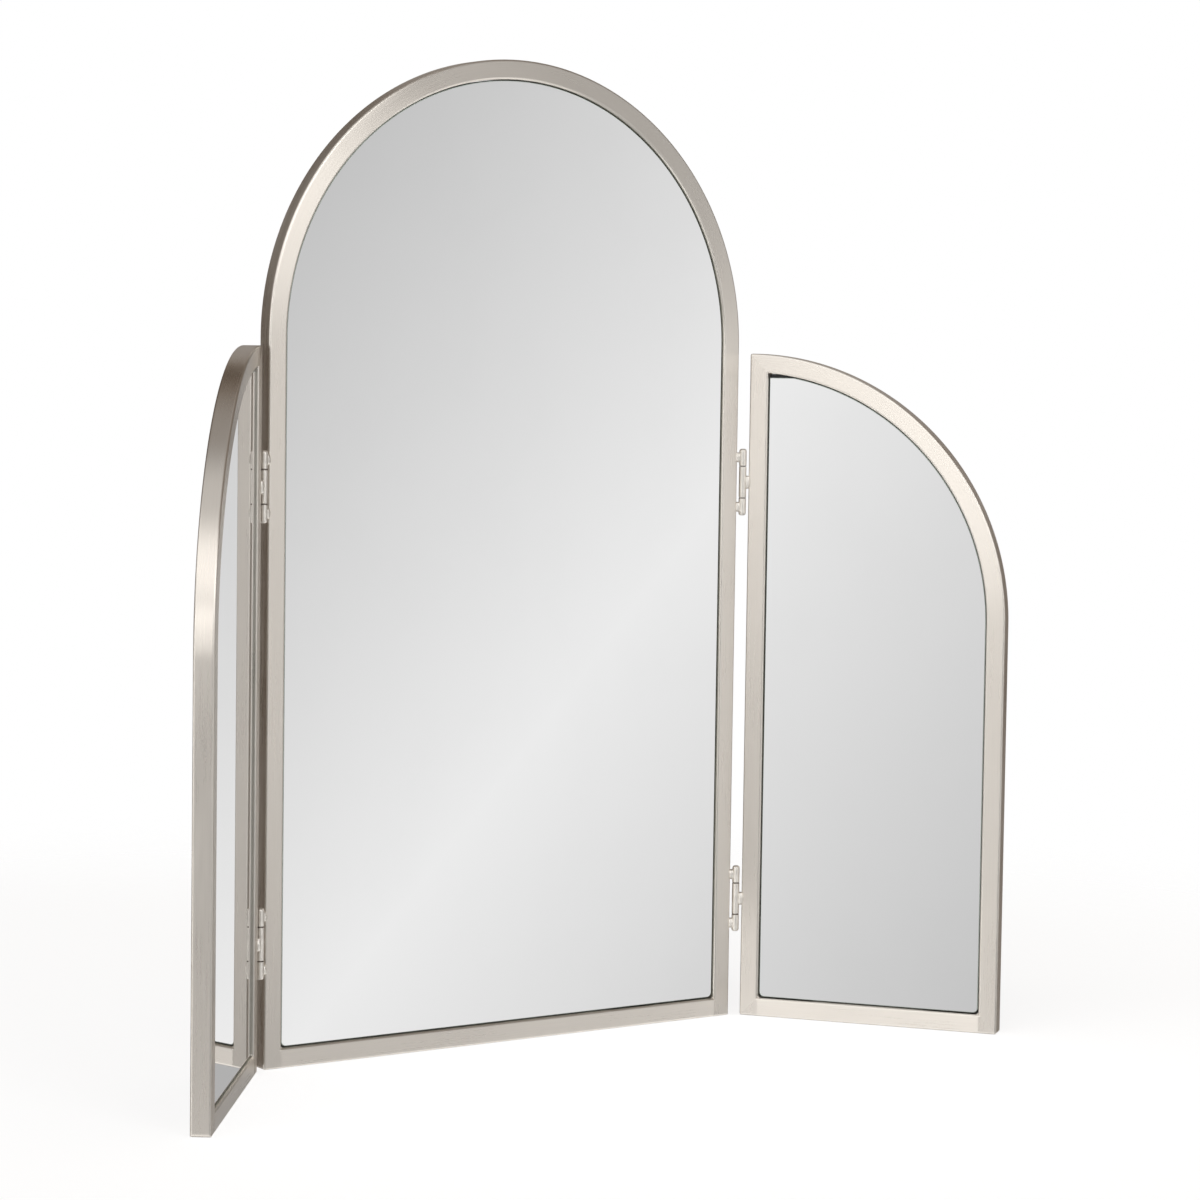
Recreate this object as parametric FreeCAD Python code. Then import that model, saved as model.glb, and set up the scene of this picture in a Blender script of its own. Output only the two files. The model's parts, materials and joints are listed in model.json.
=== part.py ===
import FreeCAD, Part
import math
import os

from FreeCAD import Vector

os.makedirs("parts", exist_ok=True)

# The mirror stands on Z = 0 with its front towards -Y. The origin lies under the middle of the
# centre panel, halfway through the depth of its tube. Lengths are millimetres.
panel_height = 762.0
panel_width = 432.0
wing_height = 540.0
wing_meeting_gap = 6.0
wing_rest_fold = 53.0

# Square steel tube of the frames, welded at mitres and ground round at the bottom corners
tube_side = 15.0
tube_wall = 1.2
tube_corner = 1.5
ground_corner = 2.0
corner_weld = 2.4

# Weld-on barrel hinges: two outer knuckles on the centre frame, one middle knuckle on the wing
hinge_gap = 9.0
hinge_lead = 1.0
hinge_length = 54.0
upper_hinge_drop = 104.0
lower_hinge_rise = 96.0
knuckle_radius = 3.0
knuckle_dome = 1.6
end_knuckle_length = 14.0
knuckle_play = 0.3
pin_radius = 1.5
pin_reach = 9.0
pin_running_clearance = 0.05
pin_seat_clearance = 0.02
pin_end_play = 0.3
end_bead_run = 3.0
middle_bead_run = 5.5
bead_bite = 1.1

# Mirror packs: glass on foam tape on a board, held from behind by welded tabs and screws
glass_recess = 2.5
glass_thickness = 3.0
glass_edge_gap = 1.0
glass_corner = 4.0
glass_arris = 0.5
glass_top_flat = 20.0
board_top_flat = 4.0
tape_thickness = 1.0
tape_width = 20.0
tape_end_margin = 30.0
board_thickness = 5.0
board_clearance = 0.3
tab_thickness = 1.5
tab_width = 13.0
tab_reach = 17.0
screw_radius = 1.45
screw_grip_share = 0.8
screw_board_clearance = 0.02
screw_tab_clearance = 0.15
screw_head_radius = 2.8
screw_head_height = 1.5
screw_head_chamfer = 0.7
screw_slot_width = 0.8
screw_slot_depth = 0.9
screw_slot_share = 0.6

# Places along each side, as shares of its clear length
centre_tape_shares = (-0.6, 0.0, 0.6)
wing_tape_shares = (0.28, 0.72)
centre_leg_tab_shares = (0.12, 0.86)
centre_rail_tab_shares = (-0.55, 0.55)
wing_stile_tab_shares = (0.14, 0.76)
wing_leg_tab_share = 0.3
wing_rail_tab_share = 0.5
wing_arch_tab_angle = 42.0

# Sizes that follow from the ones above
overrun = tube_side
tube_half = tube_side / 2
front_face = -tube_half
panel_half = panel_width / 2
panel_spring = panel_height - panel_half
wing_width = (panel_width - wing_meeting_gap) / 2
wing_spring = wing_height - wing_width
wing_start = panel_half + hinge_gap
hinge_axis = Vector(panel_half + hinge_gap / 2, front_face - hinge_lead, 0)
middle_knuckle_length = hinge_length - 2 * end_knuckle_length - 2 * knuckle_play
glass_front = front_face + glass_recess
tape_front = glass_front + glass_thickness
board_front = tape_front + tape_thickness
board_back = board_front + board_thickness
screw_grip = board_thickness * screw_grip_share
hinge_heights = {"upper": wing_height - upper_hinge_drop, "lower": lower_hinge_rise}

right_way = Vector(1, 0, 0)
back_way = Vector(0, 1, 0)
up_way = Vector(0, 0, 1)
half_diagonal = math.cos(math.radians(45))


def at(x, z, y=0.0):
    return Vector(x, y, z)


def outline_face(start, moves, y):
    """Flat face at depth y: each move is a point to draw a line to, or an arc's (via, end)."""
    edges = []
    here = at(*start, y)
    for move in moves:
        if isinstance(move[0], tuple):
            via, end = (at(*point, y) for point in move)
            edges.append(Part.Arc(here, via, end).toShape())
        else:
            end = at(*move, y)
            edges.append(Part.LineSegment(here, end).toShape())
        here = end
    return Part.Face(Part.Wire(edges))


def slab(start, moves, front, thickness):
    return outline_face(start, moves, front).extrude(back_way * thickness)


def square_wire(side, corner, place):
    half = side / 2
    flat = half - corner
    bulge = flat + corner * half_diagonal
    edges = []
    for cos, sin in ((1, 0), (0, 1), (-1, 0), (0, -1)):
        quarter = [(half, -flat), (half, flat), (bulge, bulge), (flat, half)]
        low, high, middle, end = [place(a * cos - b * sin, a * sin + b * cos) for a, b in quarter]
        edges.append(Part.LineSegment(low, high).toShape())
        edges.append(Part.Arc(high, middle, end).toShape())
    return Part.Wire(edges)


def tube_section(centre, across, hollow=True):
    """Section of the tube, square to its run, lying along `across` and the depth."""
    def place(a, b):
        return centre + across * a + back_way * b

    wires = [square_wire(tube_side, tube_corner, place)]
    if hollow:
        bore = tube_half - tube_wall
        corners = [place(a * bore, b * bore) for a, b in ((1, -1), (1, 1), (-1, 1), (-1, -1), (1, -1))]
        wires.append(Part.makePolygon(corners))
    return Part.makeFace(wires, "Part::FaceMakerBullseye")


def join(first, *others):
    return first.fuse(list(others)).removeSplitter()


def mitre_block(left, right):
    """Space of a bottom rail between two outer corners, with its ends cut at 45 degrees."""
    outline = [(right, 0), (right - tube_side, tube_side), (left + tube_side, tube_side), (left, 0)]
    return slab((left, 0), outline, front_face - overrun, tube_side + 2 * overrun)


def corner_waste(x, inward, z=0.0, upward=1):
    """What grinding takes off a square outer corner of a frame."""
    bulge = ground_corner * (1 - half_diagonal)
    side = (x + inward * ground_corner, z)
    arc = ((x + inward * bulge, z + upward * bulge), (x, z + upward * ground_corner))
    return slab((x, z), [side, arc, (x, z)], front_face - overrun, tube_side + 2 * overrun)


def inner_weld(corner, inward):
    """Hollow fillet of weld between a rail and an upright, across the flat of the tube."""
    bulge = corner_weld * (1 - half_diagonal)
    arc = ((corner + inward * bulge, tube_side + bulge), (corner, tube_side + corner_weld))
    moves = [(corner + inward * corner_weld, tube_side), arc, (corner, tube_side)]
    return slab((corner, tube_side), moves, front_face + tube_corner, tube_side - 2 * tube_corner)


def bottom_rail(left, right):
    section = tube_section(at(left, tube_half), up_way)
    rail = section.extrude(right_way * (right - left)).common(mitre_block(left, right))
    welds = [inner_weld(left + tube_side, 1), inner_weld(right - tube_side, -1)]
    return join(rail, *welds).cut([corner_waste(left, 1), corner_waste(right, -1)])


def upright(x, height, hollow=True):
    return tube_section(at(x, 0), right_way, hollow).extrude(up_way * height)


def centre_tube(hollow=True):
    """One tube bent over the top, with a leg down each side."""
    reach = panel_half - tube_half
    section = tube_section(at(reach, panel_spring), right_way, hollow)
    bend = section.revolve(at(0, panel_spring), back_way, -180)
    return join(bend, upright(reach, panel_spring, hollow), upright(-reach, panel_spring, hollow))


def wing_tube(hollow=True):
    """One tube up the outer side and bent a quarter turn to the hinge side."""
    reach = wing_width - tube_half
    section = tube_section(at(reach, wing_spring), right_way, hollow)
    bend = section.revolve(at(0, wing_spring), back_way, -90)
    return join(bend, upright(reach, wing_spring, hollow))


def top_mitre(below):
    """Space on one side of the slant where a wing's bent tube meets its hinge stile."""
    inner_radius = wing_width - tube_side
    low = (tube_side, wing_spring + math.sqrt(inner_radius**2 - tube_side**2))
    high = (0, wing_height)
    if below:
        moves = [(tube_side, -overrun), low, high, (0, -overrun)]
        return slab((0, -overrun), moves, front_face - overrun, tube_side + 2 * overrun)
    moves = [low, high, (-overrun, wing_height), (-overrun, wing_spring)]
    start = (tube_side, wing_spring)
    return slab(start, moves + [start], front_face - overrun, tube_side + 2 * overrun)


def centre_plate(inset, corner, front, thickness):
    """Arched plate that fills the centre opening, less `inset` all round."""
    half = panel_half - tube_side - inset
    low = tube_side + inset
    bulge = corner * (1 - half_diagonal)
    moves = [
        (half - corner, low),
        ((half - bulge, low + bulge), (half, low + corner)),
        (half, panel_spring),
        ((0, panel_spring + half), (-half, panel_spring)),
        (-half, low + corner),
        ((bulge - half, low + bulge), (corner - half, low)),
    ]
    return slab((corner - half, low), moves, front, thickness)


def wing_plate(inset, corner, top_flat, front, thickness):
    """Quarter-arched plate that fills a wing's opening, less `inset` all round, cut level at the top."""
    near = tube_side + inset
    far = wing_width - tube_side - inset
    low = tube_side + inset
    bulge = corner * (1 - half_diagonal)
    lean = math.acos((near + top_flat) / far)
    arch_end = (far * math.cos(lean), wing_spring + far * math.sin(lean))
    arch_via = (far * math.cos(lean / 2), wing_spring + far * math.sin(lean / 2))
    moves = [
        (far - corner, low),
        ((far - bulge, low + bulge), (far, low + corner)),
        (far, wing_spring),
        (arch_via, arch_end),
        (near, arch_end[1]),
        (near, low + corner),
        ((near + bulge, low + bulge), (near + corner, low)),
    ]
    return slab((near + corner, low), moves, front, thickness)


def seamed(glass):
    """Glass with the sharp front edge ground off."""
    front = [edge for edge in glass.Edges if edge.BoundBox.YMax < glass_front + glass_arris]
    return glass.makeChamfer(glass_arris, front)


def tape_strip(x, top):
    low = tube_side + tape_end_margin
    height = top - tape_end_margin - low
    return Part.makeBox(tape_width, tape_thickness, height, at(x - tape_width / 2, low, tape_front))


def tab(root, inward, frame):
    """Steel lug welded to the inner wall of the tube, with its hole; also gives the hole's centre."""
    along = Vector(-inward.z, 0, inward.x)
    half = tab_width / 2

    def place(a, b):
        point = root + inward * a + along * b
        return (point.x, point.z)

    bend = tab_reach - half
    round_end = (place(tab_reach, 0), place(bend, half))
    moves = [place(bend, -half), round_end, place(-tube_half, half), place(-tube_half, -half)]
    plate = slab(place(-tube_half, -half), moves, board_back, tab_thickness)
    x, z = place(bend, 0)
    centre = at(x, z, board_back)
    hole = Part.makeCylinder(screw_radius + screw_tab_clearance, tab_thickness, centre, back_way)
    return plate.cut([frame, hole]), centre


def pilot_hole(place):
    radius = screw_radius + screw_board_clearance
    return Part.makeCylinder(radius, screw_grip, place - back_way * screw_grip, back_way)


def screw(place):
    """Pan-head screw through a tab into the board, with a cross recess."""
    seat = board_back + tab_thickness
    top = seat + screw_head_height
    tip = board_back - screw_grip
    rim = top - screw_head_chamfer
    crown = screw_head_radius - screw_head_chamfer
    profile = [(0, tip), (screw_radius, tip), (screw_radius, seat), (screw_head_radius, seat)]
    profile += [(screw_head_radius, rim), (crown, top), (0, top), (0, tip)]
    points = [Vector(place.x + radius, y, place.z) for radius, y in profile]
    body = Part.Face(Part.makePolygon(points)).revolve(points[0], back_way, 360)
    length = 2 * screw_head_radius * screw_slot_share
    slots = []
    for wide, tall in ((length, screw_slot_width), (screw_slot_width, length)):
        corner = Vector(place.x - wide / 2, top - screw_slot_depth, place.z - tall / 2)
        slots.append(Part.makeBox(wide, screw_slot_depth, tall, corner))
    return body.cut(slots)


def mirror_pack(glass, board, tapes, tab_roots, frame):
    """Everything that fills one frame: glass, tape, board, tabs and screws."""
    tabs = []
    places = []
    for root, inward in tab_roots:
        lug, place = tab(root, inward, frame)
        tabs.append(lug)
        places.append(place)
    return {
        "mirror_glass": seamed(glass),
        "tape_strips": Part.makeCompound(tapes),
        "backing_board": board.cut([pilot_hole(place) for place in places]),
        "board_tabs": Part.makeCompound(tabs),
        "tab_screws": Part.makeCompound([screw(place) for place in places]),
    }


def centre_pieces():
    rail_space = mitre_block(-panel_half, panel_half)
    corners = [corner_waste(-panel_half, 1), corner_waste(panel_half, -1)]
    half = panel_half - tube_side
    leg = panel_spring - tube_side
    tapes = []
    for share in centre_tape_shares:
        x = half * share
        edge = abs(x) + tape_width / 2
        tapes.append(tape_strip(x, panel_spring + math.sqrt(half**2 - edge**2)))
    roots = [(at(0, panel_spring + half), -up_way)]
    for share in centre_leg_tab_shares:
        for side in (1, -1):
            roots.append((at(side * half, tube_side + leg * share), right_way * -side))
    for share in centre_rail_tab_shares:
        roots.append((at(half * share, tube_side), up_way))
    rail_blank = tube_section(at(-panel_half, tube_half), up_way, False).extrude(right_way * panel_width)
    frame = join(centre_tube(False), rail_blank)
    pieces = {
        "arch_tube": centre_tube().cut([rail_space] + corners),
        "bottom_rail": bottom_rail(-panel_half, panel_half),
    }
    glass = centre_plate(glass_edge_gap, glass_corner, glass_front, glass_thickness)
    board = centre_plate(board_clearance, corner_weld, board_front, board_thickness)
    pieces.update(mirror_pack(glass, board, tapes, roots, frame))
    return pieces


def wing_pieces():
    """A right wing lying open flat, with the outer face of its hinge stile at X = 0."""
    rail_space = mitre_block(0, wing_width)
    clear = wing_width - 2 * tube_side
    inner_radius = wing_width - tube_side
    leg = wing_spring - tube_side
    tapes = []
    for share in wing_tape_shares:
        x = tube_side + clear * share
        edge = x + tape_width / 2
        tapes.append(tape_strip(x, wing_spring + math.sqrt(inner_radius**2 - edge**2)))
    lean = math.radians(wing_arch_tab_angle)
    outward = Vector(math.cos(lean), 0, math.sin(lean))
    roots = [(at(0, wing_spring) + outward * inner_radius, -outward)]
    for share in wing_stile_tab_shares:
        roots.append((at(tube_side, tube_side + (wing_height - 2 * tube_side) * share), right_way))
    roots.append((at(wing_width - tube_side, tube_side + leg * wing_leg_tab_share), -right_way))
    roots.append((at(tube_side + clear * wing_rail_tab_share, tube_side), up_way))
    rail_blank = tube_section(at(0, tube_half), up_way, False).extrude(right_way * wing_width)
    frame = join(wing_tube(False), rail_blank, upright(tube_half, wing_height, False))
    stile = upright(tube_half, wing_height).common(top_mitre(True))
    top_corner = corner_waste(0, 1, wing_height, -1)
    bent_waste = [rail_space, corner_waste(wing_width, -1), top_mitre(False), top_corner]
    pieces = {
        "arch_tube": wing_tube().cut(bent_waste),
        "hinge_stile": stile.cut([rail_space, corner_waste(0, 1), top_corner]),
        "bottom_rail": bottom_rail(0, wing_width),
    }
    glass = wing_plate(glass_edge_gap, glass_corner, glass_top_flat, glass_front, glass_thickness)
    board = wing_plate(board_clearance, corner_weld, board_top_flat, board_front, board_thickness)
    pieces.update(mirror_pack(glass, board, tapes, roots, frame))
    return pieces


def bead(side, height, run):
    """Tack of weld between a knuckle and the rounded front edge of the tube on one side of it."""
    edge = Vector(hinge_axis.x + side * (hinge_gap / 2 + tube_corner), front_face + tube_corner, 0)
    apart = edge - hinge_axis
    gap = apart.Length - knuckle_radius - tube_corner
    middle = hinge_axis + apart * ((knuckle_radius + gap / 2) / apart.Length) + up_way * height
    swell = gap / 2 + bead_bite
    foot = middle - up_way * (run / 2)
    head = middle + up_way * (run / 2)
    ends = [Part.makeSphere(swell, end) for end in (foot, head)]
    tack = join(Part.makeCylinder(swell, run, foot), *ends)
    tube = upright(hinge_axis.x + side * (hinge_gap / 2 + tube_half), wing_height, False)
    return tack.cut(tube)


def end_knuckle(inner, outer):
    """Outer knuckle: blind from the inner end, domed at the outer end, tacked to the centre frame."""
    way = 1 if outer > inner else -1
    bulge = knuckle_dome * half_diagonal
    shoulder = knuckle_radius - knuckle_dome

    def point(radius, z):
        return hinge_axis + Vector(radius, 0, z)

    rim = outer - way * knuckle_dome
    corners = [point(0, inner), point(knuckle_radius, inner), point(knuckle_radius, rim)]
    edges = [Part.LineSegment(a, b).toShape() for a, b in zip(corners, corners[1:])]
    crown = point(shoulder, outer)
    edges.append(Part.Arc(corners[-1], point(shoulder + bulge, rim + way * bulge), crown).toShape())
    edges.append(Part.LineSegment(crown, point(0, outer)).toShape())
    edges.append(Part.LineSegment(point(0, outer), corners[0]).toShape())
    barrel = Part.Face(Part.Wire(edges)).revolve(hinge_axis, up_way, 360)
    tack = bead(-1, (inner + outer) / 2, end_bead_run)
    bore = Part.makeCylinder(pin_radius + pin_seat_clearance, pin_reach, point(0, inner), up_way * way)
    return barrel.fuse(tack).cut(bore)


def hinge_pieces(height):
    """One hinge of the right wing lying open flat, at its height."""
    low = height - hinge_length / 2
    middle_low = low + end_knuckle_length + knuckle_play
    middle_high = middle_low + middle_knuckle_length
    foot = hinge_axis + up_way * middle_low
    barrel = Part.makeCylinder(knuckle_radius, middle_knuckle_length, foot)
    bore = Part.makeCylinder(pin_radius + pin_running_clearance, middle_knuckle_length, foot)
    pin_foot = middle_low - knuckle_play - pin_reach
    pin_length = middle_knuckle_length + 2 * (knuckle_play + pin_reach) - pin_end_play
    return {
        "bottom_knuckle": end_knuckle(middle_low - knuckle_play, low),
        "middle_knuckle": barrel.fuse(bead(1, height, middle_bead_run)).cut(bore),
        "top_knuckle": end_knuckle(middle_high + knuckle_play, low + hinge_length),
        "pin": Part.makeCylinder(pin_radius, pin_length, hinge_axis + up_way * pin_foot),
    }


def swing(shape):
    """The wing's rest: folded forward from open flat about the hinge axis."""
    return shape.rotated(hinge_axis, up_way, -wing_rest_fold)


def right_pieces():
    """The right wing and its two hinges, in place at rest."""
    pieces = {}
    for name, shape in wing_pieces().items():
        pieces["wing_" + name] = swing(shape.translated(right_way * wing_start))
    for hinge, height in hinge_heights.items():
        for name, shape in hinge_pieces(height).items():
            placed = swing(shape) if name == "middle_knuckle" else shape
            pieces[f"{hinge}_hinge_{name}"] = placed
    return pieces


nodes = {"centre_" + name: shape for name, shape in centre_pieces().items()}
for name, shape in right_pieces().items():
    nodes["right_" + name] = shape
    nodes["left_" + name] = shape.mirror(Vector(), right_way)

for name, shape in nodes.items():
    shape.exportStep(f"parts/{name}.step")
    sound = all(solid.isValid() and solid.Volume > 0 for solid in shape.Solids)
    print(name, len(shape.Solids), "solids", round(shape.Volume), "mm3", "sound" if sound else "FAULTY")
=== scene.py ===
import json
import math

import bmesh
import bpy
from mathutils import Matrix, Vector


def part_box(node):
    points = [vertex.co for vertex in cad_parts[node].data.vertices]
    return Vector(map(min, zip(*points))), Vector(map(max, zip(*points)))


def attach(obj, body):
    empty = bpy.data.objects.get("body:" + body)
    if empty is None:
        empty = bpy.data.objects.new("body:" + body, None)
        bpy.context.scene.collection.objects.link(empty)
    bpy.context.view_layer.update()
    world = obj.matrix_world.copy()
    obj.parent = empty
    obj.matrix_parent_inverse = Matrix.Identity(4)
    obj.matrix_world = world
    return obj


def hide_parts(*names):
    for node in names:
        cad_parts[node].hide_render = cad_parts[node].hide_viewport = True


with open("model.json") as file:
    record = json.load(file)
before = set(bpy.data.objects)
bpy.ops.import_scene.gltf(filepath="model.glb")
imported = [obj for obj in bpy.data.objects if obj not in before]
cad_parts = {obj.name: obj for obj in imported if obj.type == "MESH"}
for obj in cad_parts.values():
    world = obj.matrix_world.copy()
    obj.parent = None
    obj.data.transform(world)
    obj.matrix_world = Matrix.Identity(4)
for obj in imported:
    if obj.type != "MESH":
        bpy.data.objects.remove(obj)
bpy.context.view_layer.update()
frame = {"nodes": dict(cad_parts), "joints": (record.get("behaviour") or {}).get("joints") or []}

# The frames are square steel tube, bent cold into an arch and two quarter arches, mitred and welded to
# straight stiles and bottom rails. The welds are ground flush, then a belt brushes each tube along its
# length, and everything takes a warm nickel plate. Each tube is one rounded square run along its line.
arch_low, arch_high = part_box("centre_arch_tube")
panel_half = arch_high.x
panel_height = arch_high.z
wing_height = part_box("right_wing_arch_tube")[1].z
wing_width = 0.213
wing_rest_fold = math.radians(53)
tube_side = arch_high.y - arch_low.y
tube_edge = 0.0015
ground_corner = 0.002
corner_weld = 0.0024
hinge_axis = {joint["child"]: Vector(joint["pos_m"]) for joint in frame["joints"]}
wing_start = 2 * hinge_axis["right_wing"].x - panel_half
panel_spring = panel_height - panel_half
wing_spring = wing_height - wing_width
wing_sides = {"left": -1, "right": 1}


class Wire:
    """A value in a node tree. Arithmetic on wires adds the math nodes that work it out."""

    def __init__(self, tree, socket):
        self.tree = tree
        self.socket = socket

    def math(self, operation, *others, clamp=False):
        made = self.tree.nodes.new("ShaderNodeMath")
        made.operation = operation
        made.use_clamp = clamp
        for slot, value in zip(made.inputs, (self, *others)):
            plug(self.tree, slot, value)
        return Wire(self.tree, made.outputs[0])

    def __add__(self, other):
        return self.math("ADD", other)

    def __sub__(self, other):
        return self.math("SUBTRACT", other)

    def __mul__(self, other):
        return self.math("MULTIPLY", other)

    def __truediv__(self, other):
        return self.math("DIVIDE", other)

    def __rsub__(self, other):
        return self * -1 + other

    def __rtruediv__(self, other):
        return self.math("POWER", -1.0) * other

    __radd__ = __add__
    __rmul__ = __mul__

    def clamped(self):
        return self.math("ADD", 0.0, clamp=True)

    def at_least(self, floor):
        return self.math("MAXIMUM", floor)

    def at_most(self, ceiling):
        return self.math("MINIMUM", ceiling)

    def towards(self, other, share):
        return self + (other - self) * share

    def ramp(self, low, high):
        """Rises smoothly from 0 at low to 1 at high."""
        limits = {"Value": self, "From Min": low, "From Max": high}
        return add(self.tree, "ShaderNodeMapRange", limits, interpolation_type="SMOOTHSTEP")


def plug(tree, socket, value):
    if isinstance(value, Wire):
        tree.links.new(value.socket, socket)
    else:
        socket.default_value = value


def add(tree, kind, inputs=None, output=0, **settings):
    """Adds a node with its settings, fills its inputs by name or number, and gives one of its outputs."""
    made = tree.nodes.new(kind)
    for name, value in settings.items():
        setattr(made, name, value)
    for name, value in (inputs or {}).items():
        plug(tree, made.inputs[name], value)
    return Wire(tree, made.outputs[output])


def new_tree(name, kind, given, results):
    """A node tree with named inputs and outputs; gives a wire for each input, and the node that ends it."""
    tree = bpy.data.node_groups.new(name, kind)
    for label, sort in given.items():
        tree.interface.new_socket(label, in_out="INPUT", socket_type="NodeSocket" + sort)
    for label, sort in results.items():
        tree.interface.new_socket(label, in_out="OUTPUT", socket_type="NodeSocket" + sort)
    start = tree.nodes.new("NodeGroupInput")
    wires = {label: Wire(tree, start.outputs[label]) for label in given}
    return tree, wires, tree.nodes.new("NodeGroupOutput")


def captured(tree, geometry, values):
    """Ties values to a curve's points, so that they can still be read once the curve is a mesh."""
    made = tree.nodes.new("GeometryNodeCaptureAttribute")
    for label in values:
        made.capture_items.new("FLOAT", label)
    plug(tree, made.inputs[0], geometry)
    for label, value in values.items():
        plug(tree, made.inputs[label], value)
    return Wire(tree, made.outputs[0]), {label: Wire(tree, made.outputs[label]) for label in values}


def vector(tree, x, y, z):
    return add(tree, "ShaderNodeCombineXYZ", {"X": x, "Y": y, "Z": z})


def swept(tree, rings, ring_points, across):
    """A capped tube of plain rings; gives the mesh and, for each vertex, its ring and its values across."""
    index = add(tree, "GeometryNodeInputIndex")
    circle = add(tree, "GeometryNodeCurvePrimitiveCircle", {"Resolution": ring_points})
    profile, local = captured(tree, circle, across(index))
    straight = add(tree, "GeometryNodeCurvePrimitiveLine")
    line = add(tree, "GeometryNodeResampleCurve", {"Curve": straight, "Count": rings})
    path, along = captured(tree, line, {"ring": index})
    local.update(along)
    skin = {"Curve": path, "Profile Curve": profile, "Fill Caps": True}
    return add(tree, "GeometryNodeCurveToMesh", skin), local


def stored(tree, geometry, name, value, data_type, domain):
    inputs = {"Geometry": geometry, "Name": name, "Value": value}
    return add(tree, "GeometryNodeStoreNamedAttribute", inputs, data_type=data_type, domain=domain)


def finished(tree, geometry, material, end, sharp_angle=0.7):
    """Smooth shading with hard edges kept, real geometry, and the material: the end of every tree here."""
    smooth = add(tree, "GeometryNodeSetShadeSmooth", {"Geometry": geometry})
    hard = add(tree, "GeometryNodeInputMeshEdgeAngle").math("GREATER_THAN", sharp_angle)
    edged = stored(tree, smooth, "sharp_edge", hard, "BOOLEAN", "EDGE")
    real = add(tree, "GeometryNodeRealizeInstances", {"Geometry": edged})
    painted = add(tree, "GeometryNodeSetMaterial", {"Geometry": real, "Material": material})
    plug(tree, end.inputs["Geometry"], painted)


def grow(tree, name, sizes, places=()):
    """Runs a tree with these sizes, on bare points if places are given, and gives a plain mesh."""
    points = bpy.data.meshes.new(name)
    points.from_pydata([tuple(place) for place in places], [], [])
    start = bpy.data.objects.new(name, points)
    bpy.context.scene.collection.objects.link(start)
    modifier = start.modifiers.new(tree.name, "NODES")
    modifier.node_group = tree
    for item in tree.interface.items_tree:
        if item.in_out == "INPUT" and item.name in sizes:
            modifier[item.identifier] = sizes[item.name]
    graph = bpy.context.evaluated_depsgraph_get()
    evaluated = start.evaluated_get(graph)
    mesh = bpy.data.meshes.new_from_object(evaluated, preserve_all_data_layers=True, depsgraph=graph)
    start.modifiers.remove(modifier)
    bpy.data.objects.remove(start)
    bpy.data.meshes.remove(points)
    mesh.name = name
    return mesh


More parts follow.
